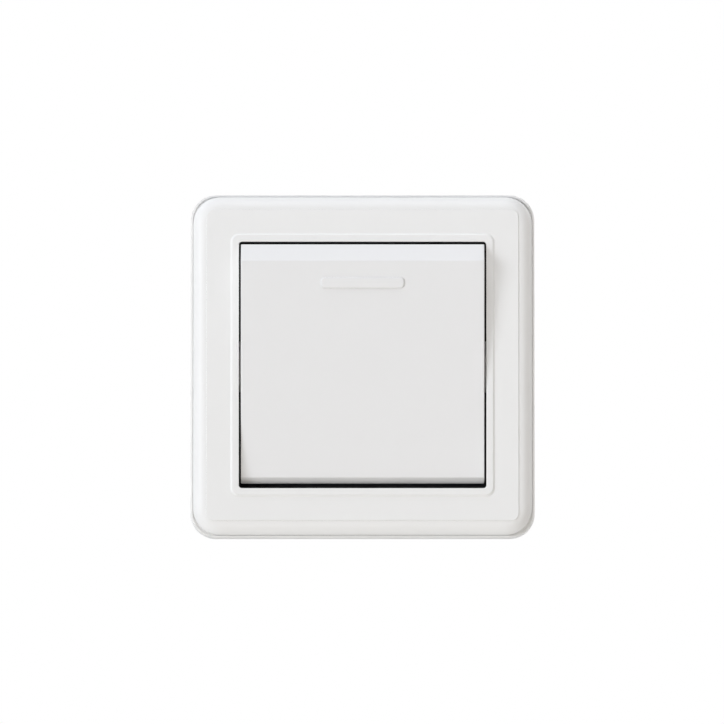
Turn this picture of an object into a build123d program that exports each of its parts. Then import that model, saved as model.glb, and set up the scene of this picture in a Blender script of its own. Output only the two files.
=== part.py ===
"""Two-way rocker light switch for a square wall box, in millimetres.

The switch is drawn in its bench frame: x to the right, y up the wall and z out of the wall,
with the wall's surface at z = 0 and the box screws on the x axis. Each piece is turned to its
wall frame when it is written: +Z up the wall, and the front of the switch towards -Y.
"""
from build123d import *
from math import atan2, cos, degrees, radians, sin, sqrt, tan
import os

# Overlap of features that join into one piece, and overshoot of cuts through a face
bite = 0.2
overshoot = 1.0

# Outline of the plate on the wall
plate_side = 86.0
plate_corner_r = 6.3
plate_draft_deg = 2.0
rim_z = 4.2
rim_seat_z = 3.95
rim_corner_r = 5.9
floor_t = 1.6

# Trim frame that clips over the base
rim_land = 0.68
trim_gap = 0.1
trim_wall = 2.2
trim_corner_r = 6.8
trim_edge_r = 3.3
border_z = 7.85
border_w = 3.37
plateau_corner_r = 1.9
plateau_z = 8.05
plateau_edge_r = 0.12
lip_z = 8.4
lip_w = 2.1
lip_chamfer = 0.5
lip_corner_r = 2.2
window_side = 61.7
window_corner_r = 0.8
window_edge_r = 0.1
window_swing_play = 0.3
skin_t = 1.9
cover_tab_foot_z = 3.9
cover_tab_t = 0.6
cover_tab_w = 6.0
cover_tab_reach = 1.5
cover_post_t = 1.6

# Clips that hold the trim frame to the base
clip_x = 22.0
clip_w = 8.0
clip_t = 1.4
clip_foot_z = 1.75
clip_nose = 0.65
clip_nose_h = 1.0
clip_play = 0.05

# Rocker: u runs up its face and w out of it, from the pivot
pivot_z = -1.6
throw_deg = 12.0
side_play = 0.5
face_w = 11.0
upper_end_u = 31.02
lower_end_u = 28.65
ridge_u = 27.03
slope_deg = 45.0
rim_w = 5.8
rocker_t = 1.8
rocker_ridge_r = 0.45
rocker_side_r = 0.2
rib_t = 1.2
rib_h = 2.0
rib_x = 14.0
rib_u = 15.0
head_relief_u = 11.0
head_relief_w = 7.6
stop_gap = 0.1
stop_x = 24.0
stop_w = 4.0
stop_l = 2.0

# Raised bar moulded on the rocker's face
bar_l = 20.9
bar_h = 2.75
bar_u = 21.5
bar_proud = 0.4
bar_corner_r = 1.1
bar_edge_r = 0.38

# Actuator that the rocker clips on
trunnion_r = 1.5
trunnion_play = 0.05
trunnion_end_x = 10.8
cheek_t = 2.4
cheek_inner_x = 8.6
cheek_r = 3.2
cheek_top_z = 1.8
snap_mouth = 2.5
side_plate_t = 1.6
side_plate_x = 5.2
side_plate_top_u = 4.0
side_plate_foot_u = 2.6
table_w = 18.0
table_h = 12.0
table_t = 1.6
barrel_r = 3.1
barrel_top_w = 5.0
barrel_foot_w = -5.4
web_t = 1.6
rocker_hook_x = 5.0
rocker_hook_w = 5.0
rocker_hook_t = 1.2
rocker_hook_nose = 0.5
rocker_hook_nose_h = 0.9
hook_play = 0.05

# Plunger and its spring
plunger_r = 2.05
bore_play = 0.05
plunger_top_w = -2.6
plunger_foot_w = -6.4
plunger_neck_r = 1.2
tip_centre_w = -8.0
spring_wire_r = 0.22
spring_turns = 6
spring_seat_play = 0.05
spring_side_play = 0.15

# Contact lever that see-saws on the common terminal
lever_t = 1.0
lever_arm = 9.3
lever_w = 5.0
lever_saddle_w = 7.0
lever_saddle_h = 3.2
lever_ear_t = 0.75
lever_ear_depth = 1.2
lever_ear_play = 0.15
lever_tilt_deg = 5.0
lever_drive_gap = 0.05
fulcrum_r = 0.45
fulcrum_play = 0.05
contact_arm = 7.6
contact_r = 1.5
contact_head_t = 0.5
contact_tail_r = 0.7
contact_tail_t = 0.25
contact_tail_lip = 0.35
fixed_dome_h = 0.25
contact_gap = 0.05
mechanism_end_room = 2.9

# Terminal plates, all punched from one strip
strip_t = 1.0
strip_below_fulcrum = 1.88
tongue_w = 5.6
pad_w = 6.0
pad_margin = 0.4
terminal_x = 8.0
tongue_overhang = 0.45
fulcrum_strip_half = 3.0

# Screw clamps and the wires that they take
wire_hole_r = 1.9
clamp_w = 7.6
clamp_l = 6.5
clamp_wall = 1.2
clamp_back_t = 1.5
clamp_travel = 2.4
tongue_play = 0.12
screw_r = 1.7
screw_play = 0.03
screw_head_r = 2.9
screw_head_t = 1.9
screw_head_sunk = 0.6
screw_tip_gap = 0.02
slot_w = 0.8
slot_depth = 0.9
screw_edge_r = 0.4

# Housing behind the wall
housing_side_wall = 3.2
housing_end_wall = 3.2
housing_back_wall = 2.65
partition_t = 1.65
housing_corner_r = 2.0
housing_back_edge = 0.6
housing_play = 0.2
access_hole_r = 3.1
slot_play = 0.1

# Screws that hold the housing to the base
ear_out = 2.8
ear_in = 4.4
ear_r = 3.6
ear_t = 3.0
boss_r = 2.6
boss_top_z = 3.6
boss_cap_t = 1.0
housing_screw_r = 1.5
housing_screw_l = 7.0
housing_head_r = 2.7
housing_head_t = 1.7
hole_play = 0.03

# Slots for the box screws, on the line through the middle
box_screw_spacing = 60.3
box_slot_l = 8.0
box_slot_r = 2.2
seat_half_y = 9.0
seat_inner_x = 22.0
tub_half_x = 31.4
tub_half_y = 33.0
tub_wall = 1.4
tub_front_z = 0.4
tub_back_z = -1.4
tub_play = 0.05
flange_w = 1.2
flange_t = 0.7
nib_x = 18.0
nib_w = 6.0
nib_out = 0.6
nib_foot_z = 0.1
nib_top_z = 0.8
well_half_y = 7.2

# Sizes that follow from the ones above
rest_deg = throw_deg / 2
trim_side = plate_side - 2 * rim_land
plateau_side = trim_side - 2 * border_w
lip_outer_side = window_side + 2 * lip_w
rocker_w = window_side - 2 * side_play
upper_foot_w = face_w - (upper_end_u - ridge_u) * tan(radians(slope_deg))
end_sweep_r = sqrt(upper_end_u ** 2 + upper_foot_w ** 2)
table_top_w = face_w - rocker_t
barrel_bore_r = plunger_r + bore_play
fulcrum_z = pivot_z + tip_centre_w - plunger_neck_r - lever_drive_gap - lever_t
strip_z = fulcrum_z - strip_below_fulcrum
wire_z = strip_z + wire_hole_r
clamp_top_z = wire_z + wire_hole_r + clamp_wall
clamp_back_z = strip_z - strip_t - tongue_play - clamp_travel - clamp_back_t
housing_back_z = clamp_back_z - housing_play - housing_back_wall
mechanism_half_y = lever_arm + mechanism_end_room
clamp_y = mechanism_half_y + partition_t + housing_play + clamp_l / 2
tongue_end_y = clamp_y + clamp_l / 2 + tongue_overhang
housing_half_y = tongue_end_y + housing_play + housing_end_wall
housing_half_x = terminal_x + clamp_w / 2 + housing_play + housing_side_wall
ear_x = housing_half_x + ear_out
ear_y = housing_half_y - ear_in
trim_inner = trim_side - 2 * trim_wall
clip_y = trim_inner / 2 - clip_play - clip_nose - clip_t
clamp_spots = [(terminal_x, 1), (-terminal_x, 1), (-terminal_x, -1)]


def square(side, corner_r):
    """A square outline with round corners."""
    return RectangleRounded(side, side, corner_r)


def slab(x0, x1, y0, y1, z0, z1):
    """A plain block between two opposite corners."""
    return Pos((x0 + x1) / 2, (y0 + y1) / 2, (z0 + z1) / 2) * Box(x1 - x0, y1 - y0, z1 - z0)


def rod_z(x, y, r, z0, z1):
    """A round rod along z."""
    return Pos(x, y, (z0 + z1) / 2) * Cylinder(r, z1 - z0)


def rod_x(y, z, r, x0, x1):
    """A round rod along x."""
    return Pos((x0 + x1) / 2, y, z) * Rot(0, 90, 0) * Cylinder(r, x1 - x0)


def rod_y(x, z, r, y0, y1):
    """A round rod along y."""
    return Pos(x, (y0 + y1) / 2, z) * Rot(90, 0, 0) * Cylinder(r, y1 - y0)


def mirror_x(shape):
    """The same shape on the other side of the upright middle line."""
    return mirror(shape, about=Plane.YZ)


def mirror_y(shape):
    """The same shape on the other side of the box-screw line."""
    return mirror(shape, about=Plane.XZ)


def top_edges(shape, z):
    """The edges that lie wholly at one height."""
    return shape.edges().filter_by_position(Axis.Z, z - 0.01, z + 0.01)


def tilted(shape):
    """A piece of the rocker, swung from its drawing to its place at rest."""
    return Pos(0, 0, pivot_z) * Rot(rest_deg, 0, 0) * shape


def base_plate():
    """The moulded base: skirt with a low rim round the trim frame, floor, ledges and slotted seats."""
    body = extrude(square(plate_side, plate_corner_r), rim_z, taper=plate_draft_deg)
    body -= Pos(0, 0, rim_seat_z) * extrude(square(trim_side + 2 * trim_gap, rim_corner_r), rim_z)
    body -= Pos(0, 0, floor_t) * extrude(square(trim_inner, trim_corner_r - trim_wall), rim_z)
    body -= extrude(tub_outline(tub_wall + tub_play), rim_z)
    body -= carrier_nibs(0, nib_top_z + hook_play, hook_play)
    body += skirt_ledges()
    slot = extrude(SlotOverall(box_slot_l, 2 * box_slot_r), floor_t)
    return body - Pos(box_screw_spacing / 2, 0, 0) * slot - Pos(-box_screw_spacing / 2, 0, 0) * slot


def module_carrier():
    """The dark carrier in the base's opening: tub, flange, bearings, bosses, stops and hold-down ribs."""
    body = Pos(0, 0, tub_back_z) * extrude(tub_outline(tub_wall), floor_t - tub_back_z)
    body += Pos(0, 0, floor_t) * extrude(tub_outline(tub_wall + flange_w), flange_t)
    body += carrier_nibs(nib_foot_z, nib_top_z, 0)
    body -= Pos(0, 0, tub_front_z) * extrude(tub_outline(0), rim_z)
    cheek = slab(cheek_inner_x, cheek_inner_x + cheek_t, -cheek_r, cheek_r, pivot_z, cheek_top_z)
    cheek += rod_x(0, pivot_z, cheek_r, cheek_inner_x, cheek_inner_x + cheek_t)
    body = body + cheek + mirror_x(cheek)
    for sx in (-1, 1):
        for sy in (-1, 1):
            body += rod_z(sx * ear_x, sy * ear_y, boss_r, tub_back_z, boss_top_z)
            body += stop_pad(sx, sy)
    for x, sy in clamp_spots:
        rib_y = sy * (clamp_y - clamp_l / 4)
        body += slab(x - tongue_w / 2, x + tongue_w / 2, rib_y - rib_t / 2, rib_y + rib_t / 2,
                     clamp_top_z + clip_play, tub_back_z)
    body -= slab(-cheek_inner_x, cheek_inner_x, -well_half_y, well_half_y, tub_back_z, floor_t)
    reach = cheek_inner_x + cheek_t
    body -= rod_x(0, pivot_z, trunnion_r + trunnion_play, -reach, reach)
    body -= slab(-reach, reach, -snap_mouth / 2, snap_mouth / 2, pivot_z - 2 * cheek_r, pivot_z)
    depth = boss_top_z - boss_cap_t - tub_back_z
    for sx in (-1, 1):
        for sy in (-1, 1):
            body -= rod_z(sx * ear_x, sy * ear_y, housing_screw_r + hole_play, tub_back_z, tub_back_z + depth)
    return body


def tub_outline(grow):
    """The sunk part of the floor, which leaves a seat for each box screw."""
    tub = Rectangle(2 * (tub_half_x + grow), 2 * (tub_half_y + grow))
    seat_l = tub_half_x + overshoot - seat_inner_x
    seat = Pos(seat_inner_x + grow + seat_l / 2, 0) * Rectangle(seat_l, 2 * (seat_half_y - grow))
    return tub - seat - mirror_x(seat)


def carrier_nibs(z0, z1, grow):
    """The four snap nibs of the carrier or, grown by a little, their recesses in the base's back."""
    inner_y = tub_half_y + tub_wall - bite
    outer_y = tub_half_y + tub_wall + nib_out + grow
    nib = slab(nib_x - nib_w / 2 - grow, nib_x + nib_w / 2 + grow, inner_y, outer_y, z0, z1)
    pair = nib + mirror_x(nib)
    return pair + mirror_y(pair)


def skirt_ledges():
    """Four ledges inside the skirt that the clips of the trim frame hook under."""
    ledge_z = clip_foot_z + clip_nose_h + clip_play
    ledge_y = clip_y + clip_t + clip_play
    ledge = slab(-clip_w / 2, clip_w / 2, ledge_y, trim_inner / 2 + bite, ledge_z, rim_seat_z)
    both = Pos(clip_x, 0, 0) * ledge + Pos(-clip_x, 0, 0) * ledge
    return both + mirror_y(both)


def stop_pad(sx, sy):
    """A pad on the floor that stops the rocker's rim at the end of its throw."""
    tilt = radians(rest_deg)
    end_u = upper_end_u if sy > 0 else lower_end_u
    pressed_z = pivot_z + rim_w * cos(tilt) - end_u * sin(tilt)
    pad = extrude(Rectangle(stop_w, stop_l), pressed_z - stop_gap - tub_front_z)
    return Pos(sx * stop_x, sy * (end_u - rocker_t / 2), tub_front_z) * pad


def trim_frame():
    """The trim frame: rounded border, low step, raised lip round the window, clips and screw covers."""
    body = Pos(0, 0, rim_seat_z) * extrude(square(trim_side, trim_corner_r), border_z - rim_seat_z)
    body = fillet(top_edges(body, border_z), trim_edge_r)
    step = Pos(0, 0, border_z) * extrude(square(plateau_side, plateau_corner_r), plateau_z - border_z)
    body += fillet(top_edges(step, plateau_z), plateau_edge_r)
    lip_taper = degrees(atan2(lip_chamfer, lip_z - plateau_z))
    lip = extrude(square(lip_outer_side, lip_corner_r), lip_z - plateau_z, taper=lip_taper)
    body += Pos(0, 0, plateau_z) * lip
    room = Pos(0, 0, rim_seat_z) * extrude(
        square(trim_inner, trim_corner_r - trim_wall), plateau_z - skin_t - rim_seat_z)
    body -= room
    relief_y = end_sweep_r + side_play
    swing_z = pivot_z + sqrt(end_sweep_r ** 2 - (window_side / 2 - window_swing_play) ** 2)
    body -= slab(-window_side / 2, window_side / 2, -relief_y, relief_y, rim_seat_z, swing_z)
    window = extrude(square(window_side, window_corner_r), lip_z)
    body -= window
    near = window_side / 2 + bite
    rim = [e for e in top_edges(body, lip_z) if max(abs(e.center().X), abs(e.center().Y)) < near]
    body = fillet(rim, window_edge_r)
    post_x = window_side / 2 + window_swing_play
    post = slab(post_x, post_x + cover_post_t, -cover_tab_w / 2, cover_tab_w / 2,
                cover_tab_foot_z, plateau_z - skin_t)
    post += slab(window_side / 2 - cover_tab_reach, post_x, -cover_tab_w / 2, cover_tab_w / 2,
                 cover_tab_foot_z, cover_tab_foot_z + cover_tab_t)
    body = body + post + mirror_x(post)
    clip = slab(-clip_w / 2, clip_w / 2, clip_y, clip_y + clip_t, clip_foot_z, plateau_z - skin_t)
    nose = Plane.YZ * Polygon(
        (clip_y + clip_t, clip_foot_z), (clip_y + clip_t + clip_nose, clip_foot_z + clip_nose_h),
        (clip_y + clip_t, clip_foot_z + clip_nose_h), align=None)
    clip += Pos(-clip_w / 2, 0, 0) * extrude(nose, clip_w)
    clips = Pos(clip_x, 0, 0) * clip + Pos(-clip_x, 0, 0) * clip
    return body + clips + mirror_y(clips)


def rocker_side(inset):
    """The rocker's side view, moved inwards by a wall: face, long upper slope, short lower one, ends."""
    slope = radians(slope_deg)
    face = face_w - inset
    ridge = ridge_u - inset * tan(slope / 2)
    low = rim_w if inset == 0 else rim_w - overshoot
    top = upper_end_u - inset
    foot = lower_end_u - inset
    return Plane.YZ * Polygon(
        (top, low), (top, face - (top - ridge) * tan(slope)), (ridge, face),
        (-ridge, face), (-foot, face - (foot - ridge) * tan(slope)), (-foot, low), align=None)


def rocker():
    """The rocker: one moulded shell with a raised bar, ribs and hooks for the actuator."""
    outer = Pos(-rocker_w / 2, 0, 0) * extrude(rocker_side(0), rocker_w)
    across = outer.edges().filter_by(Axis.X)
    outer = fillet([e for e in across if e.center().Z > rim_w + bite], rocker_ridge_r)
    side_x = rocker_w / 2 - bite
    sides = [e for e in outer.edges() if abs(e.center().X) > side_x and e.center().Z > rim_w + bite]
    outer = fillet(sides, rocker_side_r)
    room_w = rocker_w - 2 * rocker_t
    shell = outer - Pos(-room_w / 2, 0, 0) * extrude(rocker_side(rocker_t), room_w)
    for sx in (-1, 1):
        rib = slab(-rib_t / 2, rib_t / 2, -ridge_u, ridge_u, table_top_w - rib_h, table_top_w + bite)
        shell += Pos(sx * rib_x, 0, 0) * rib
        cross = slab(-room_w / 2, room_w / 2, -rib_t / 2, rib_t / 2, table_top_w - rib_h, table_top_w + bite)
        shell += Pos(0, sx * rib_u, 0) * cross
    relief = slab(-rocker_w, rocker_w, -head_relief_u / 2, head_relief_u / 2, 0, head_relief_w)
    shell -= relief
    bar = extrude(RectangleRounded(bar_l, bar_h, bar_corner_r), bite + bar_proud)
    bar = fillet(top_edges(bar, bite + bar_proud), bar_edge_r)
    shell += Pos(0, bar_u, face_w - bite) * bar
    hook_u = table_h / 2 + hook_play
    nose_top = table_top_w - table_t - hook_play
    hook = slab(-rocker_hook_w / 2, rocker_hook_w / 2, hook_u, hook_u + rocker_hook_t,
                nose_top - rocker_hook_nose_h, table_top_w + bite)
    nose = Plane.YZ * Polygon(
        (hook_u, nose_top - rocker_hook_nose_h), (hook_u, nose_top), (hook_u - rocker_hook_nose, nose_top),
        align=None)
    hook += Pos(-rocker_hook_w / 2, 0, 0) * extrude(nose, rocker_hook_w)
    for sx in (-1, 1):
        pair = Pos(sx * rocker_hook_x, 0, 0) * hook
        shell += pair
        shell += mirror_y(pair)
    return tilted(shell)


def actuator():
    """The actuator: a table for the rocker, two side plates, trunnions and the spring's barrel."""
    table_foot = table_top_w - table_t
    body = slab(-table_w / 2, table_w / 2, -table_h / 2, table_h / 2, table_foot, table_top_w)
    side = Plane.YZ * Polygon(
        (-side_plate_top_u, table_foot), (side_plate_top_u, table_foot),
        (side_plate_foot_u, -side_plate_foot_u), (-side_plate_foot_u, -side_plate_foot_u), align=None)
    shoulder_x = cheek_inner_x - trunnion_play
    for sx in (-1, 1):
        x0 = side_plate_x if sx > 0 else -side_plate_x - side_plate_t
        body += Pos(x0, 0, 0) * extrude(side, side_plate_t)
        inner, outer = sorted((sx * side_plate_x, sx * shoulder_x))
        body += rod_x(0, 0, side_plate_foot_u, inner, outer)
        inner, outer = sorted((sx * side_plate_x, sx * trunnion_end_x))
        body += rod_x(0, 0, trunnion_r, inner, outer)
    body += slab(-side_plate_x, side_plate_x, -web_t / 2, web_t / 2, -side_plate_foot_u, table_foot)
    body += rod_z(0, 0, barrel_r, barrel_foot_w, table_foot)
    body -= rod_z(0, 0, barrel_bore_r, barrel_foot_w, barrel_top_w)
    return tilted(body)


def plunger():
    """The plunger: a guide that slides in the barrel, a neck and a round tip."""
    body = rod_z(0, 0, plunger_r, plunger_foot_w, plunger_top_w)
    body += rod_z(0, 0, plunger_neck_r, tip_centre_w, plunger_foot_w)
    body += Pos(0, 0, tip_centre_w) * Sphere(plunger_neck_r)
    return tilted(body)


def plunger_spring():
    """The coil spring between the barrel's closed end and the plunger."""
    low = plunger_top_w + spring_seat_play + spring_wire_r
    high = barrel_top_w - spring_seat_play - spring_wire_r
    coil_r = barrel_bore_r - spring_side_play - spring_wire_r
    path = Helix((high - low) / spring_turns, high - low, coil_r, center=(0, 0, low))
    section = Plane(origin=path @ 0, z_dir=path % 0) * Circle(spring_wire_r)
    return tilted(sweep(section, path))


def on_lever(shape):
    """A piece of the lever, tipped to its place at rest."""
    return Pos(0, 0, fulcrum_z) * Rot(-lever_tilt_deg, 0, 0) * shape


def contact_lever():
    """The stamped lever: two arms, and a saddle whose groove rides on the common terminal."""
    arm = SlotOverall(2 * lever_arm, lever_w, rotation=90)
    plan = arm + Rectangle(lever_saddle_w, lever_saddle_h)
    body = extrude(plan, lever_t)
    ear = slab(lever_saddle_w / 2 - lever_ear_t, lever_saddle_w / 2, -lever_saddle_h / 2, lever_saddle_h / 2,
               -lever_ear_depth, lever_t / 2)
    body = body + ear + mirror_x(ear)
    body -= rod_x(0, 0, fulcrum_r + fulcrum_play, -lever_saddle_w, lever_saddle_w)
    for sy in (-1, 1):
        body -= rod_z(0, sy * contact_arm, contact_tail_r + hole_play, 0, lever_t)
    return on_lever(body)


def moving_contact(sy):
    """A rivet with a flat head under one arm of the lever and its tail through it."""
    y = sy * contact_arm
    body = rod_z(0, y, contact_r, -contact_head_t, 0)
    body += rod_z(0, y, contact_tail_r, 0, lever_t)
    body += rod_z(0, y, contact_tail_r + contact_tail_lip, lever_t, lever_t + contact_tail_t)
    return on_lever(body)


def dome_centre():
    """Where the dome of a fixed contact is centred, and its radius, so that the lever just clears it."""
    dome_r = (contact_r ** 2 + fixed_dome_h ** 2) / (2 * fixed_dome_h)
    tilt = radians(lever_tilt_deg)
    y = contact_arm * cos(tilt)
    drop = contact_head_t + contact_gap + dome_r
    z = fulcrum_z - (drop + y * sin(tilt)) / cos(tilt)
    return y, z, dome_r


def fixed_contact(sy):
    """A rivet with a domed head on a terminal plate, and its tail through the plate."""
    y, z, dome_r = dome_centre()
    cap = Pos(0, 0, z) * Sphere(dome_r)
    post = rod_z(0, 0, contact_r, strip_z, z + dome_r)
    tail = rod_z(0, 0, contact_tail_r, strip_z - strip_t, strip_z)
    return Pos(0, sy * y, 0) * ((post & cap) + tail)


def strip(plan):
    """A flat terminal plate from its plan."""
    return Pos(0, 0, strip_z - strip_t) * extrude(plan, strip_t)


def switched_terminal(sy):
    """A plate that carries a fixed contact and ends in a tongue for its wire clamp."""
    y, _, _ = dome_centre()
    pad_y0 = y - contact_r - pad_margin
    pad_y1 = mechanism_half_y - housing_play
    plan = Pos(0, (pad_y0 + pad_y1) / 2) * Rectangle(pad_w, pad_y1 - pad_y0)
    arm_x0 = -terminal_x - tongue_w / 2
    arm_y0 = y + contact_r
    crossing = Rectangle(pad_w / 2 - arm_x0, pad_y1 - arm_y0)
    plan += Pos((arm_x0 + pad_w / 2) / 2, (arm_y0 + pad_y1) / 2) * crossing
    plan += Pos(-terminal_x, (arm_y0 + tongue_end_y) / 2) * Rectangle(tongue_w, tongue_end_y - arm_y0)
    plan -= Pos(0, y) * Circle(contact_tail_r + hole_play)
    body = strip(plan)
    return body if sy > 0 else mirror_y(body)


def common_terminal():
    """The plate under the lever: an upright with a round edge, and a tongue for its wire clamp."""
    saddle_room = lever_saddle_w - 2 * (lever_ear_t + lever_ear_play)
    x1 = terminal_x + tongue_w / 2
    plan = Pos((x1 - saddle_room / 2) / 2, 0) * Rectangle(x1 + saddle_room / 2, 2 * fulcrum_strip_half)
    length = tongue_end_y + fulcrum_strip_half
    plan += Pos(terminal_x, (tongue_end_y - fulcrum_strip_half) / 2) * Rectangle(tongue_w, length)
    body = strip(plan)
    body += slab(-saddle_room / 2, saddle_room / 2, -fulcrum_r, fulcrum_r, strip_z, fulcrum_z)
    body += rod_x(0, fulcrum_z, fulcrum_r, -saddle_room / 2, saddle_room / 2)
    return body


def wire_clamp(x, sy):
    """A cage round one tongue: its front wall presses the wire, its back wall takes the screw."""
    y0 = sy * clamp_y - clamp_l / 2
    y1 = sy * clamp_y + clamp_l / 2
    cage = slab(x - clamp_w / 2, x + clamp_w / 2, y0, y1, clamp_back_z, clamp_top_z)
    half = tongue_w / 2 + tongue_play
    cage -= slab(x - half, x + half, y0, y1, clamp_back_z + clamp_back_t, clamp_top_z - clamp_wall)
    return cage - rod_z(x, sy * clamp_y, screw_r + screw_play, clamp_back_z, clamp_back_z + clamp_back_t)


def slotted_screw(r, length, head_r, head_t):
    """A screw that points along +z with its slotted head behind z = 0."""
    head = fillet(top_edges(rod_z(0, 0, head_r, -head_t, 0), -head_t), screw_edge_r)
    head -= slab(-head_r, head_r, -slot_w / 2, slot_w / 2, -head_t, slot_depth - head_t)
    return head + rod_z(0, 0, r, 0, length)


def terminal_screws():
    """The clamp screws, driven from the back of the housing."""
    seat_z = housing_back_z + screw_head_sunk + screw_head_t
    tip_z = strip_z - strip_t - screw_tip_gap
    screw = slotted_screw(screw_r, tip_z - seat_z, screw_head_r, screw_head_t)
    return [Pos(x, sy * clamp_y, seat_z) * screw for x, sy in clamp_spots]


def housing_screws():
    """The four screws that hold the housing to the base."""
    screw = slotted_screw(housing_screw_r, housing_screw_l, housing_head_r, housing_head_t)
    return [Pos(sx * ear_x, sy * ear_y, tub_back_z - ear_t) * screw for sx in (-1, 1) for sy in (-1, 1)]


def module_housing():
    """The housing behind the wall: mechanism room, clamp rooms, wire holes and screw ears."""
    plan = RectangleRounded(2 * housing_half_x, 2 * housing_half_y, housing_corner_r)
    body = Pos(0, 0, housing_back_z) * extrude(plan, tub_back_z - housing_back_z)
    back = body.faces().sort_by(Axis.Z)[0]
    body = chamfer(back.edges(), housing_back_edge)
    for sx in (-1, 1):
        for sy in (-1, 1):
            ear = rod_z(sx * ear_x, sy * ear_y, ear_r, tub_back_z - ear_t, tub_back_z)
            x0, x1 = sorted((sx * (housing_half_x - bite), sx * ear_x))
            ear += slab(x0, x1, sy * ear_y - ear_r, sy * ear_y + ear_r, tub_back_z - ear_t, tub_back_z)
            body += ear
            body -= rod_z(sx * ear_x, sy * ear_y, housing_screw_r + hole_play, tub_back_z - ear_t, tub_back_z)
    room_x = terminal_x + tongue_w / 2 + 2 * housing_play
    body -= slab(-room_x, room_x, -mechanism_half_y, mechanism_half_y, strip_z - strip_t, tub_back_z)
    for x, sy in clamp_spots:
        half = clamp_w / 2 + housing_play
        inner_y = clamp_y - clamp_l / 2 - housing_play
        y0, y1 = sorted((sy * inner_y, sy * (housing_half_y - housing_end_wall)))
        body -= slab(x - half, x + half, y0, y1, clamp_back_z - housing_play, tub_back_z)
        y0, y1 = sorted((sy * (mechanism_half_y - bite), sy * clamp_y))
        tongue_half = tongue_w / 2 + slot_play
        body -= slab(x - tongue_half, x + tongue_half, y0, y1, strip_z - strip_t, tub_back_z)
        y0, y1 = sorted((sy * clamp_y, sy * (housing_half_y + overshoot)))
        body -= rod_y(x, wire_z, wire_hole_r, y0, y1)
        body -= rod_z(x, sy * clamp_y, access_hole_r, housing_back_z, clamp_back_z)
    return body


def write(name, shape):
    """Turn a piece to its wall frame and write it."""
    solids = shape if isinstance(shape, list) else [shape]
    placed = [solid for piece in solids for solid in (Rot(90, 0, 0) * piece).solids()]
    out = placed[0] if len(placed) == 1 else Compound(children=placed)
    export_step(out, f"parts/{name}.step")


os.makedirs("parts", exist_ok=True)
pieces = {
    "base_plate": base_plate(),
    "module_carrier": module_carrier(),
    "trim_frame": trim_frame(),
    "module_housing": module_housing(),
    "rocker": rocker(),
    "actuator": actuator(),
    "plunger_spring": plunger_spring(),
    "plunger": plunger(),
    "contact_lever": contact_lever(),
    "upper_moving_contact": moving_contact(1),
    "lower_moving_contact": moving_contact(-1),
    "upper_fixed_contact": fixed_contact(1),
    "lower_fixed_contact": fixed_contact(-1),
    "upper_terminal": switched_terminal(1),
    "lower_terminal": switched_terminal(-1),
    "common_terminal": common_terminal(),
    "terminal_screws": terminal_screws(),
    "housing_screws": housing_screws(),
}
for name, (x, sy) in zip(("common_clamp", "upper_clamp", "lower_clamp"), clamp_spots):
    pieces[name] = wire_clamp(x, sy)
for name, shape in pieces.items():
    write(name, shape)
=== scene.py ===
import logging
import math
from dataclasses import dataclass
from enum import Enum
from typing import Dict, Optional, Tuple

import bpy
import numpy as np
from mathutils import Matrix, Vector


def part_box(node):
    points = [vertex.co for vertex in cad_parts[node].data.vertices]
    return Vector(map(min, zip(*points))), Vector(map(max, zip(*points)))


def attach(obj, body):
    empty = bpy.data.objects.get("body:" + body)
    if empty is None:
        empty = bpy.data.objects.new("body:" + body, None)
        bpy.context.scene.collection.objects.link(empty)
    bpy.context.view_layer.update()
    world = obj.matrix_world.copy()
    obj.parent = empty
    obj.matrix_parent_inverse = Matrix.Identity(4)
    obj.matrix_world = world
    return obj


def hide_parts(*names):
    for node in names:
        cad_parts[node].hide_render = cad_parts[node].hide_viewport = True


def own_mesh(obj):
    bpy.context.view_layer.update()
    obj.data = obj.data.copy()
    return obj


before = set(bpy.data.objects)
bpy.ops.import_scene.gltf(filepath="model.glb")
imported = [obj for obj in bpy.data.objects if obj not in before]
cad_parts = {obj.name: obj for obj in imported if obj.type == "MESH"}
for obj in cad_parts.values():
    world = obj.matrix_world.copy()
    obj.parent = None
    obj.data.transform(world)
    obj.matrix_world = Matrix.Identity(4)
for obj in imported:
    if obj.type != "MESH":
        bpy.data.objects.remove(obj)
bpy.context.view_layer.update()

LOG = logging.getLogger("light_switch")
MM = 0.001
# Tone and gloss drift over patches about this wide, as on any large moulding.
BROAD_MM = 18.0
# How far the light over an edge or into a gap is sampled, and how much of the sky a point must see to count as
# deep in a gap or clear of it.
# Deep in a gap the colour is darkened as painted shade.
EDGE_SAMPLES = 6
GAP_REACH_MM = 0.9
GAP_DEEP, GAP_CLEAR = 0.3, 0.5


def linear(colour: str) -> Tuple[float, float, float, float]:
    """Turns an sRGB hex colour into linear light.

    Args:
        colour: Six hex digits, such as "F2F2F0".

    Returns:
        Red, green, blue and alpha, where alpha is 1.
    """
    parts = [int(colour[i:i + 2], 16) / 255 for i in (0, 2, 4)]
    light = [c / 12.92 if c <= 0.04045 else ((c + 0.055) / 1.055) ** 2.4 for c in parts]
    return (light[0], light[1], light[2], 1.0)


def add_node(tree: bpy.types.NodeTree, kind: str, links: Optional[Dict[object, bpy.types.NodeSocket]] = None,
             values: Optional[Dict[object, object]] = None, **settings: object) -> bpy.types.Node:
    """Adds a shader node, sets its options and input values, and links its inputs.

    Args:
        tree: The node tree to add to.
        kind: Blender's name for the node type.
        links: Input name to the output socket that feeds it.
        values: Input name to a constant.
        settings: Options of the node itself.

    Returns:
        The new node.
    """
    node = tree.nodes.new(kind)
    for name, value in settings.items():
        setattr(node, name, value)
    for name, value in (values or {}).items():
        node.inputs[name].default_value = value
    for name, socket in (links or {}).items():
        tree.links.new(socket, node.inputs[name])
    return node


class Grain(Enum):
    """How a surface was made, which sets the shape of its fine relief."""

    MOULDED = "moulded"
    ROLLED = "rolled"
    DRAWN = "drawn"


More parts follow.
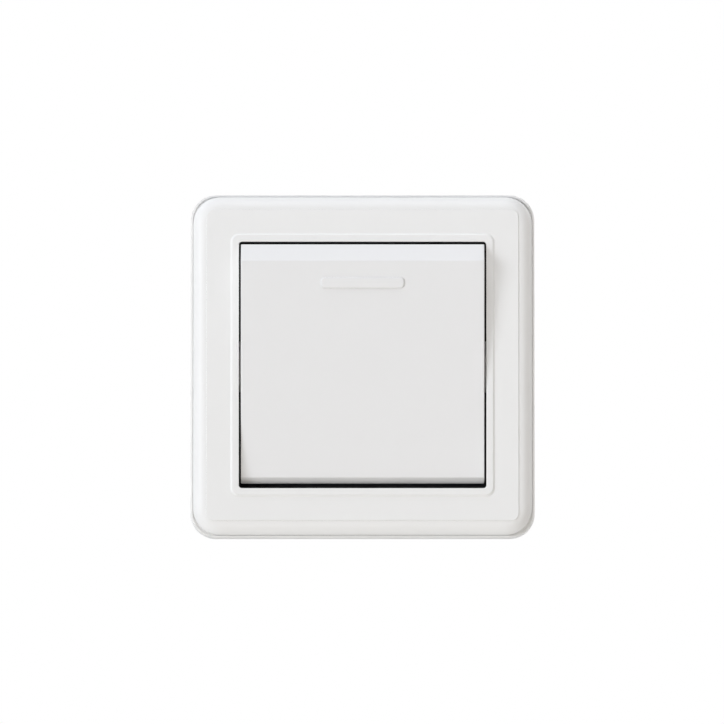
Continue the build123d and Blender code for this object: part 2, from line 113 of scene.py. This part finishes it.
@dataclass(frozen=True)
class Finish:
    """One real material with its surface.

    The relief is noise of the given size, stretched along the rolling or drawing direction on metals.

    Attributes:
        name: The material's name.
        colour: Its main tone as sRGB hex.
        shade: The tone that it drifts to, as sRGB hex.
        roughness: Its mean roughness.
        roughness_swing: How far the roughness drifts either way.
        relief_mm: Size of the fine relief.
        relief_strength: How strongly the relief shows.
        metallic: 1 for a metal, 0 for a plastic.
        ior: Index of refraction.
        edge_mm: Radius over which the light rounds a sharp edge.
        painted_gap_shade: How much darker the colour is painted deep in a narrow gap, as painted shade.
        grain: How the surface was made.
    """

    name: str
    colour: str
    shade: str
    roughness: float
    roughness_swing: float
    relief_mm: float
    relief_strength: float
    metallic: float = 0.0
    ior: float = 1.5
    edge_mm: float = 0.0
    painted_gap_shade: float = 0.0
    grain: Grain = Grain.MOULDED

    def stretch(self) -> Tuple[float, float, float]:
        """Returns how the noise is scaled along X, Y and Z."""
        if self.grain is Grain.ROLLED:
            return (1.0, 1.0, 0.08)
        if self.grain is Grain.DRAWN:
            return (1.0, 0.1, 1.0)
        return (1.0, 1.0, 1.0)

    def material(self) -> bpy.types.Material:
        """Builds the material from fine relief, a soft change of tone, a change of gloss and painted shade deep
        in narrow gaps.

        Returns:
            The material, ready for a piece's slot.
        """
        material = bpy.data.materials.new(self.name)
        material.use_nodes = True
        tree = material.node_tree
        tree.nodes.clear()
        place = add_node(tree, "ShaderNodeTexCoord")
        spread = add_node(tree, "ShaderNodeMapping", {"Vector": place.outputs["Object"]},
                          {"Scale": self.stretch()})
        fine = add_node(tree, "ShaderNodeTexNoise", {"Vector": spread.outputs["Vector"]},
                        {"Scale": 1 / (self.relief_mm * MM), "Detail": 3.0, "Roughness": 0.55})
        broad = add_node(tree, "ShaderNodeTexNoise", {"Vector": spread.outputs["Vector"]},
                         {"Scale": 1 / (BROAD_MM * MM), "Detail": 2.0})
        tone = add_node(tree, "ShaderNodeMix", {"Factor": broad.outputs["Fac"]}, data_type="RGBA")
        tone.inputs["A"].default_value = linear(self.colour)
        tone.inputs["B"].default_value = linear(self.shade)
        body_colour = tone.outputs["Result"]
        # Painted shade: the colour is darkened where a point sees little sky within a short reach, deep in a
        # gap.
        if self.painted_gap_shade > 0:
            near = add_node(tree, "ShaderNodeAmbientOcclusion", values={"Distance": GAP_REACH_MM * MM},
                            samples=EDGE_SAMPLES)
            painted_shade_factor = add_node(tree, "ShaderNodeMapRange", {"Value": near.outputs["AO"]},
                             {"From Min": GAP_DEEP, "From Max": GAP_CLEAR, "To Min": 1 - self.painted_gap_shade,
                              "To Max": 1.0})
            shade = add_node(tree, "ShaderNodeVectorMath", {0: body_colour, 1: painted_shade_factor.outputs["Result"]},
                             operation="MULTIPLY")
            body_colour = shade.outputs["Vector"]
        gloss = add_node(tree, "ShaderNodeMapRange", {"Value": broad.outputs["Fac"]},
                         {"To Min": self.roughness - self.roughness_swing,
                          "To Max": self.roughness + self.roughness_swing})
        relief = add_node(tree, "ShaderNodeBump", {"Height": fine.outputs["Fac"]},
                          {"Strength": self.relief_strength, "Distance": self.relief_mm * MM * 0.2})
        if self.edge_mm > 0:
            edge = add_node(tree, "ShaderNodeBevel", values={"Radius": self.edge_mm * MM},
                            samples=EDGE_SAMPLES)
            tree.links.new(edge.outputs["Normal"], relief.inputs["Normal"])
        shader = add_node(tree, "ShaderNodeBsdfPrincipled",
                          {"Base Color": body_colour, "Roughness": gloss.outputs["Result"],
                           "Normal": relief.outputs["Normal"]},
                          {"Metallic": self.metallic, "IOR": self.ior})
        add_node(tree, "ShaderNodeOutputMaterial", {"Surface": shader.outputs["BSDF"]})
        return material


# White ABS, injection moulded with a satin face: bright, with wide soft reflections and hardly any grain; its
# colour is darkened deep in narrow gaps as painted shade.
FRAME_ABS = Finish("frame_white_abs", "EEEEED", "EDEDEC", 0.46, 0.03, 0.5, 0.04, edge_mm=0.12, painted_gap_shade=0.95)
# The rocker's ABS: a little glossier, from a smoother mould; its tone is painted a shade greyer as shade, since
# its face leans away from the light, and its colour is darkened deep in narrow gaps as painted shade.
ROCKER_ABS = Finish("rocker_white_abs", "EAEAEA", "E9E9E9", 0.42, 0.03, 0.4, 0.06, edge_mm=0.3, painted_gap_shade=0.95)
# The base's ABS: slightly duller than the frame in front of it.
BASE_ABS = Finish("base_white_abs", "EDEDEC", "ECECEB", 0.48, 0.04, 0.4, 0.08)
# Black polyamide, moulded: dark and dull, so that the gap round the rocker reads black.
CARRIER_NYLON = Finish("carrier_black_nylon", "2A2A2C", "242426", 0.55, 0.05, 0.35, 0.3)
# Off-white polyamide, moulded: dull and a little warm, with the fine spark-eroded grain of its mould.
HOUSING_NYLON = Finish("housing_offwhite_nylon", "DDDBD3", "D6D4CC", 0.52, 0.05, 0.35, 0.3)
# Grey polyamide, moulded: a soft sheen on a piece that rubs.
ACTUATOR_NYLON = Finish("actuator_grey_nylon", "C9C9C4", "C2C2BD", 0.48, 0.05, 0.35, 0.2)
# Natural acetal, moulded: creamy, smooth and slightly waxy.
PLUNGER_ACETAL = Finish("plunger_natural_acetal", "E6DFC9", "E0D8C0", 0.38, 0.04, 0.4, 0.08)
# Rolled copper: a reddish reflection, with streaks along the rolling direction.
LEVER_COPPER = Finish("lever_rolled_copper", "D99A78", "C9835F", 0.3, 0.06, 0.25, 0.25, 1.0,
                      grain=Grain.ROLLED)
# Rolled brass: a yellow reflection, with the same streaks.
TERMINAL_BRASS = Finish("terminal_rolled_brass", "DDBE7C", "CBA75F", 0.3, 0.06, 0.25, 0.25, 1.0,
                        grain=Grain.ROLLED)
# Silver alloy, pressed: small bright caps, nearly without colour.
CONTACT_SILVER = Finish("contact_silver_alloy", "E9E7E2", "DDDBD5", 0.24, 0.04, 0.2, 0.1, 1.0)
# Zinc plate on bent steel: pale grey and faintly cloudy.
CLAMP_ZINC = Finish("clamp_zinc_plate", "C8C6BE", "B9B8B2", 0.36, 0.06, 0.3, 0.2, 1.0)
# Zinc plate on turned steel: a little brighter and warmer than on the clamps.
SCREW_ZINC = Finish("screw_zinc_plate", "CFCCC0", "BDBBB2", 0.32, 0.06, 0.25, 0.2, 1.0)
# Drawn spring steel: cool grey, with fine lines along the wire.
SPRING_STEEL = Finish("spring_drawn_steel", "BFC0C2", "ABADB0", 0.28, 0.04, 0.2, 0.15, 1.0, grain=Grain.DRAWN)
# Matt studio paper under the switch.
FLOOR_PAPER = Finish("studio_floor_paper", "F4F4F4", "F2F2F2", 0.8, 0.02, 2.0, 0.05)


@dataclass(frozen=True)
class SubAssembly:
    """CAD nodes that are put together as one unit, with what each is made of.

    Attributes:
        name: What the unit is.
        parts: Each finish with the nodes that have it.
    """

    name: str
    parts: Tuple[Tuple[Finish, Tuple[str, ...]], ...]

    def dress(self) -> None:
        """Gives every node its finish."""
        for finish, nodes in self.parts:
            material = finish.material()
            for node in nodes:
                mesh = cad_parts[node].data
                mesh.materials.clear()
                mesh.materials.append(material)
                LOG.info("%s of the %s is %s", node, self.name, finish.name)


CASING = SubAssembly("casing", ((FRAME_ABS, ("trim_frame",)),
                                (ROCKER_ABS, ("rocker",)),
                                (BASE_ABS, ("base_plate",)),
                                (CARRIER_NYLON, ("module_carrier",)),
                                (HOUSING_NYLON, ("module_housing",))))
MECHANISM = SubAssembly("mechanism", ((ACTUATOR_NYLON, ("actuator",)),
                                      (PLUNGER_ACETAL, ("plunger",)),
                                      (LEVER_COPPER, ("contact_lever",))))
TERMINALS = SubAssembly("terminals", ((TERMINAL_BRASS, ("upper_terminal", "lower_terminal", "common_terminal")),
                                      (CONTACT_SILVER, ("upper_moving_contact", "lower_moving_contact",
                                                        "upper_fixed_contact", "lower_fixed_contact")),
                                      (CLAMP_ZINC, ("common_clamp", "upper_clamp", "lower_clamp"))))
SCREWS = SubAssembly("screws", ((SCREW_ZINC, ("terminal_screws", "housing_screws")),))


def surface_object(name: str, grid: np.ndarray, closed_u: bool, closed_v: bool) -> bpy.types.Object:
    """Makes a mesh object from a grid of points.

    Args:
        name: Name of the object.
        grid: Points of shape (nu, nv, 3), in metres.
        closed_u: Whether the last row joins the first.
        closed_v: Whether the last column joins the first.

    Returns:
        The object, linked to the scene.
    """
    nu, nv = grid.shape[:2]
    rows = np.arange(nu if closed_u else nu - 1)
    cols = np.arange(nv if closed_v else nv - 1)
    i, j = np.meshgrid(rows, cols, indexing="ij")
    a, b = (i + 1) % nu, (j + 1) % nv
    quads = np.stack([i * nv + j, a * nv + j, a * nv + b, i * nv + b], axis=-1).reshape(-1, 4)
    mesh = bpy.data.meshes.new(name)
    mesh.from_pydata(grid.reshape(-1, 3), [], quads)
    mesh.shade_smooth()
    piece = bpy.data.objects.new(name, mesh)
    bpy.context.scene.collection.objects.link(piece)
    return piece


@dataclass(frozen=True)
class SoftBox:
    """One soft light that looks at the switch.

    Attributes:
        name: Name of the light.
        azimuth_deg: Degrees round from the front, positive towards the left of the picture.
        elevation_deg: Degrees above the middle of the switch.
        size: Side of the square box in metres.
        watts: Its power.
        distance: How far it stands from the switch in metres.
        colour: Its colour as sRGB hex.
    """

    name: str
    azimuth_deg: float
    elevation_deg: float
    size: float
    watts: float
    distance: float
    colour: str

    def build(self) -> None:
        """Puts the light into the scene."""
        data = bpy.data.lights.new(self.name, "AREA")
        data.shape = "SQUARE"
        data.size = self.size
        data.energy = self.watts
        data.color = linear(self.colour)[:3]
        light = bpy.data.objects.new(self.name, data)
        azimuth, elevation = math.radians(self.azimuth_deg), math.radians(self.elevation_deg)
        way = Vector((-math.sin(azimuth) * math.cos(elevation), -math.cos(azimuth) * math.cos(elevation),
                      math.sin(elevation)))
        light.location = way * self.distance
        light.rotation_euler = way.to_track_quat("Z", "Y").to_euler()
        bpy.context.scene.collection.objects.link(light)


# The large left one throws the soft shadow on the frame's right side.
SOFT_BOXES = (SoftBox("key_left", 53.0, 8.0, 2.2, 122.0, 5.0, "F5F9FF"),
              SoftBox("top_cool", 0.0, 64.0, 0.8, 8.4, 1.2, "F8FAFF"),
              SoftBox("low_warm", 0.0, -28.0, 0.8, 5.3, 1.6, "FFF4E4"),
              SoftBox("fill_right", -72.0, 0.0, 0.56, 0.55, 0.7, "FFF4E8"))


@dataclass
class Studio:
    """The white studio: a long lens, soft boxes, a dim tent in front, a bright backdrop and a pale floor.

    Attributes:
        plate_px: Width of the plate in the photograph, in its pixels.
        plate_mm: The plate's real width.
        image_px: Width of the photograph.
        distance: How far the camera stands away, in metres.
        elevation_deg: Degrees that the camera stands above the switch.
        sensor_mm: Width of the camera's sensor.
        centre_px: Where the plate's middle lies in the photograph.
        tent: How bright the tent in front is for the switch.
        backdrop: How bright the backdrop behind is for the switch.
        turn: Between which depths, as parts of a unit sphere, the tent turns into the backdrop.
        floor_half: Half the floor's side, in metres.
        floor_height: The floor's height, in metres.
    """

    plate_px: float = 343.8
    plate_mm: float = 86.0
    image_px: float = 724.0
    distance: float = 2.5
    elevation_deg: float = -5.0
    sensor_mm: float = 36.0
    centre_px: Tuple[float, float] = (362.6, 367.6)
    tent: float = 0.02
    backdrop: float = 1.15
    turn: Tuple[float, float] = (-0.1, 0.3)
    floor_half: float = 15.0
    floor_height: float = -1.4

    def camera(self) -> None:
        """Sets a long lens in front of the plate, a little below it, framed as in the photograph."""
        frame_width = self.plate_mm * MM * self.image_px / self.plate_px
        data = bpy.data.cameras.new("camera")
        data.sensor_width = self.sensor_mm
        data.lens = self.sensor_mm * self.distance / frame_width
        data.clip_end = 60.0
        camera = bpy.data.objects.new("camera", data)
        bpy.context.scene.collection.objects.link(camera)
        px = frame_width / self.image_px
        aim = Vector((-(self.centre_px[0] - self.image_px / 2) * px, 0.0,
                      (self.centre_px[1] - self.image_px / 2) * px))
        tilt = math.radians(self.elevation_deg)
        camera.location = aim + Vector((0, -math.cos(tilt), math.sin(tilt))) * self.distance
        camera.rotation_euler = (math.pi / 2 - tilt, 0, 0)
        bpy.context.scene.camera = camera

    def world(self) -> None:
        """Surrounds the switch with the tent and the backdrop, which the camera sees as plain white."""
        world = bpy.data.worlds.new("tent")
        world.use_nodes = True
        tree = world.node_tree
        tree.nodes.clear()
        way = add_node(tree, "ShaderNodeTexCoord")
        split = add_node(tree, "ShaderNodeSeparateXYZ", {"Vector": way.outputs["Generated"]})
        level = add_node(tree, "ShaderNodeMapRange", {"Value": split.outputs["Y"]},
                         {"From Min": self.turn[0], "From Max": self.turn[1], "To Min": self.tent,
                          "To Max": self.backdrop})
        path = add_node(tree, "ShaderNodeLightPath")
        soft = add_node(tree, "ShaderNodeBackground", {"Strength": level.outputs["Result"]},
                        {"Color": linear("FFFFFF")})
        white = add_node(tree, "ShaderNodeBackground", values={"Color": linear("FFFFFF"), "Strength": 1.0})
        mix = add_node(tree, "ShaderNodeMixShader")
        tree.links.new(path.outputs["Is Camera Ray"], mix.inputs[0])
        tree.links.new(soft.outputs[0], mix.inputs[1])
        tree.links.new(white.outputs[0], mix.inputs[2])
        add_node(tree, "ShaderNodeOutputWorld", {"Surface": mix.outputs[0]})
        bpy.context.scene.world = world

    def floor(self) -> None:
        """Lays a plain pale floor well below the switch."""
        half, height = self.floor_half, self.floor_height
        grid = np.array([[[-half, -half, height], [-half, half, height]],
                         [[half, -half, height], [half, half, height]]])
        floor = surface_object("studio_floor", grid, False, False)
        floor.data.materials.append(FLOOR_PAPER.material())

    def build(self) -> None:
        """Builds the whole studio."""
        bpy.context.scene.view_settings.view_transform = "Standard"
        self.camera()
        self.world()
        for box in SOFT_BOXES:
            box.build()
        self.floor()


@dataclass
class PlungerSpring:
    """The coil spring in the actuator's barrel, with closed ends.

    Attributes:
        turns: How many turns it has.
        wire_mm: Radius of its wire.
        tilt_deg: How far the barrel leans at rest.
        steps: Points along the wire.
        sides: Points round the wire.
        end_turns: Share of the wire in each closed end.
        end_climb: Share of the height in each closed end.
        tip: The wire's radius at its cut ends, as a share of its full radius.
        keep: Share of its length left when the plunger is fully in; not used.
    """

    turns: float = 7.0
    wire_mm: float = 0.22
    tilt_deg: float = 6.0
    steps: int = 560
    sides: int = 14
    end_turns: float = 0.13
    end_climb: float = 0.055
    tip: float = 0.02
    keep: float = 0.88

    def build(self) -> bpy.types.Object:
        """Builds the coil and puts it in the place of the plain one.

        The wire's middle goes round the coil's axis at an even rate and climbs slowly at both ends,
        and fast between them. The wire's section is a circle carried along that path.

        Returns:
            The spring.
        """
        low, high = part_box("plunger_spring")
        tilt = math.radians(self.tilt_deg)
        axis = np.array([0.0, -math.cos(tilt), -math.sin(tilt)])
        side = np.array([1.0, 0.0, 0.0])
        up = np.cross(axis, side)
        centre = np.array((low + high) / 2)
        wire = self.wire_mm * MM
        radius = (high.x - low.x) / 2 - wire
        span = (high.y - low.y - 2 * radius * math.sin(tilt) - 2 * wire) / math.cos(tilt)
        t = np.linspace(0.0, 1.0, self.steps)
        climb = np.interp(t, [0, self.end_turns, 1 - self.end_turns, 1],
                          [0, self.end_climb, 1 - self.end_climb, 1])
        angle = 2 * np.pi * self.turns * t
        path = (centre + np.outer((climb - 0.5) * span, axis)
                + radius * (np.outer(np.cos(angle), side) + np.outer(np.sin(angle), up)))
        ahead = np.gradient(path, axis=0)
        ahead /= np.linalg.norm(ahead, axis=1, keepdims=True)
        out = np.outer(np.cos(angle), side) + np.outer(np.sin(angle), up)
        across = np.cross(ahead, out)
        turn = np.linspace(0, 2 * np.pi, self.sides, endpoint=False)
        ring = (out[:, None, :] * np.cos(turn)[None, :, None] + across[:, None, :] * np.sin(turn)[None, :, None])
        size = np.full(self.steps, wire)
        size[0] = size[-1] = wire * self.tip
        piece = surface_object("plunger_coil", path[:, None, :] + ring * size[:, None, None], False, True)
        piece.data.materials.append(SPRING_STEEL.material())
        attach(piece, "rocker")
        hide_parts("plunger_spring")
        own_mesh(piece)
        LOG.info("plunger_coil has %d turns", int(self.turns))
        return piece


def main() -> None:
    """Builds the studio, dresses every piece of the switch and builds the spring."""
    Studio().build()
    for unit in (CASING, MECHANISM, TERMINALS, SCREWS):
        unit.dress()
    PlungerSpring().build()


if __name__ == "__main__":
    logging.basicConfig(level=logging.INFO)
    main()
